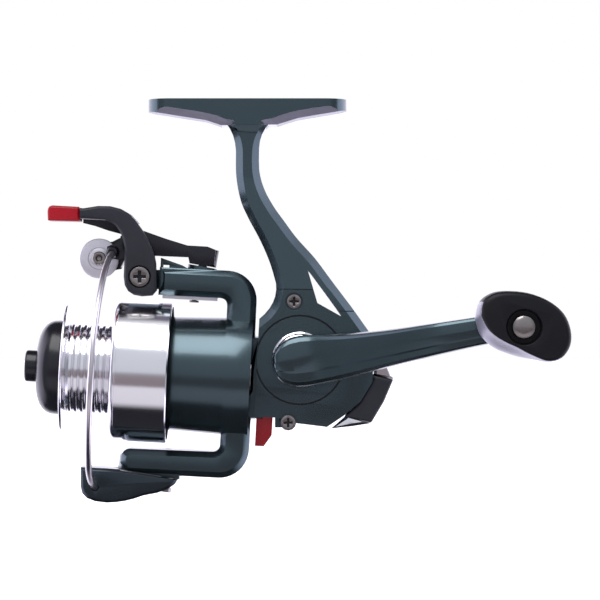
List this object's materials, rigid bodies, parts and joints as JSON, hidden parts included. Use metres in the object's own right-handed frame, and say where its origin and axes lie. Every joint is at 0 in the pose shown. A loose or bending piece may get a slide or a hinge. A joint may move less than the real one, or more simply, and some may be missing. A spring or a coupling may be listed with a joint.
{
  "type": "spinning reel",
  "caption": "Open-face spinning reel: foot and stem, gear housing with side crank, two-arm rotor with trigger-opened bail, fixed spool and front drag knob.",
  "frame": {"origin": "centre of the flat seat on top of the foot", "axes": "+Z out of the foot seat towards the rod, -X towards the spool nose, -Y towards the crank"},
  "size_m": [0.1434, 0.0841, 0.1093],
  "materials": {
    "green_metallic_paint": "gloss metallic paint",
    "black_plastic": "satin moulded",
    "red_plastic": "gloss moulded",
    "bright_chrome": "mirror plated",
    "polished_aluminium": "polished, fine turned",
    "stainless_wire": "polished wire",
    "screw_steel": "dark nickel",
    "plain_steel": "machined",
    "zinc_alloy": "die cast",
    "gear_brass": "machined",
    "drag_felt": "oiled felt"
  },
  "bodies": {
    "frame": {"frame_body": "green_metallic_paint", "side_cover": "green_metallic_paint", "cover_screw_top": "screw_steel", "cover_screw_bottom": "screw_steel", "cover_screw_rear": "screw_steel", "rear_cap": "bright_chrome", "rear_cap_insert": "black_plastic", "rear_cap_insert_far": "black_plastic", "left_cap": "black_plastic", "drive_bush_left": "gear_brass", "drive_bush_right": "gear_brass", "pinion_bearing": "plain_steel", "bearing_retainer": "plain_steel", "pawl_pin": "plain_steel"},
    "crank": {"drive_gear": "zinc_alloy", "drive_shaft": "plain_steel", "oscillation_pinion": "zinc_alloy", "handle_collar": "bright_chrome", "handle_arm": "green_metallic_paint", "knob_rivet": "plain_steel"},
    "knob": {"handle_knob": "black_plastic"},
    "oscillator": {"oscillation_gear": "zinc_alloy"},
    "rotor": {"rotor": "green_metallic_paint", "rotor_nut": "gear_brass", "rotor_arm_cover": "zinc_alloy", "arm_cover_screw": "screw_steel", "pinion_gear": "gear_brass", "ratchet_wheel": "plain_steel", "bail_screw_upper": "screw_steel", "bail_screw_lower": "screw_steel", "bail_spring": "plain_steel", "trigger_spring": "plain_steel", "trigger_screw": "screw_steel"},
    "trip": {"trip_lever": "plain_steel"},
    "bail": {"bail_arm": "black_plastic", "bail_wire": "stainless_wire", "bail_holder": "black_plastic", "roller_screw": "screw_steel", "roller_bush": "gear_brass"},
    "roller": {"line_roller": "bright_chrome"},
    "trigger": {"trigger_lever": "black_plastic", "trigger_grip": "red_plastic"},
    "shaft": {"main_shaft": "plain_steel", "spool_slider": "zinc_alloy", "slider_clip": "plain_steel", "click_gear": "zinc_alloy", "drag_spring": "plain_steel", "drag_nut": "gear_brass"},
    "spool": {"spool": "polished_aluminium", "drag_felt_inner": "drag_felt", "drag_washer_steel": "plain_steel", "drag_felt_outer": "drag_felt", "drag_pressure_plate": "plain_steel", "drag_clip": "plain_steel"},
    "drag_knob": {"drag_knob": "black_plastic"},
    "reverse_lever": {"anti_reverse_lever": "red_plastic"},
    "pawl": {"anti_reverse_pawl": "plain_steel"}
  },
  "joints": [
    {"name": "crank_turn", "type": "hinge", "parent": "frame", "child": "crank", "pos_m": [0.0143, 0, -0.0707], "axis": [0, 1, 0], "continuous": true},
    {"name": "knob_spin", "type": "hinge", "parent": "crank", "child": "knob", "pos_m": [0.07052, -0.055, -0.0613], "axis": [0, 1, 0], "continuous": true},
    {"name": "oscillation_spin", "type": "hinge", "parent": "frame", "child": "oscillator", "pos_m": [0.02307, 0.004, -0.07397], "axis": [0, 1, 0], "continuous": true},
    {"name": "rotor_spin", "type": "hinge", "parent": "frame", "child": "rotor", "pos_m": [-0.0212, 0, -0.07445], "axis": [0.9986, 0, -0.0523], "continuous": true},
    {"name": "bail_open", "type": "hinge", "parent": "rotor", "child": "bail", "pos_m": [-0.012, 0, -0.044], "axis": [-0.174, 0, -0.9848], "range_deg": [0, 110]},
    {"name": "trip_swing", "type": "hinge", "parent": "rotor", "child": "trip", "pos_m": [-0.01597, -0.0022, -0.05099], "axis": [0.0523, 0, 0.9986], "range_deg": [-9, 9]},
    {"name": "roller_spin", "type": "hinge", "parent": "bail", "child": "roller", "pos_m": [-0.0403, 0, -0.0432], "axis": [0, 1, 0], "continuous": true},
    {"name": "trigger_pull", "type": "hinge", "parent": "rotor", "child": "trigger", "pos_m": [-0.029, -0.006, -0.0482], "axis": [0, 1, 0], "range_deg": [0, 20], "stiffness_Nm_per_rad": 0.12},
    {"name": "spool_stroke", "type": "slide", "parent": "frame", "child": "shaft", "axis": [0.9986, 0, -0.0523], "range_m": [0, 0.0086]},
    {"name": "drag_slip", "type": "hinge", "parent": "shaft", "child": "spool", "pos_m": [-0.03119, 0, -0.07393], "axis": [0.9986, 0, -0.0523], "continuous": true},
    {"name": "drag_adjust", "type": "hinge", "parent": "shaft", "child": "drag_knob", "pos_m": [-0.05415, 0, -0.07272], "axis": [0.9986, 0, -0.0523], "continuous": true},
    {"name": "reverse_switch", "type": "hinge", "parent": "frame", "child": "reverse_lever", "pos_m": [0.00428, 0.003, -0.0851], "axis": [0.9986, 0, -0.0523], "range_deg": [0, 30]},
    {"name": "pawl_lift", "type": "hinge", "parent": "frame", "child": "pawl", "pos_m": [-0.00462, -0.006, -0.08293], "axis": [0.9986, 0, -0.0523], "range_deg": [-9, 1]}
  ],
  "couplings": [
    {"joint": "rotor_spin", "follows": "crank_turn", "ratio": -4},
    {"joint": "oscillation_spin", "follows": "crank_turn", "ratio": -0.54545},
    {"joint": "trip_swing", "follows": "bail_open", "ratio": 0.07},
    {"joint": "pawl_lift", "follows": "reverse_switch", "ratio": -0.28}
  ]
}
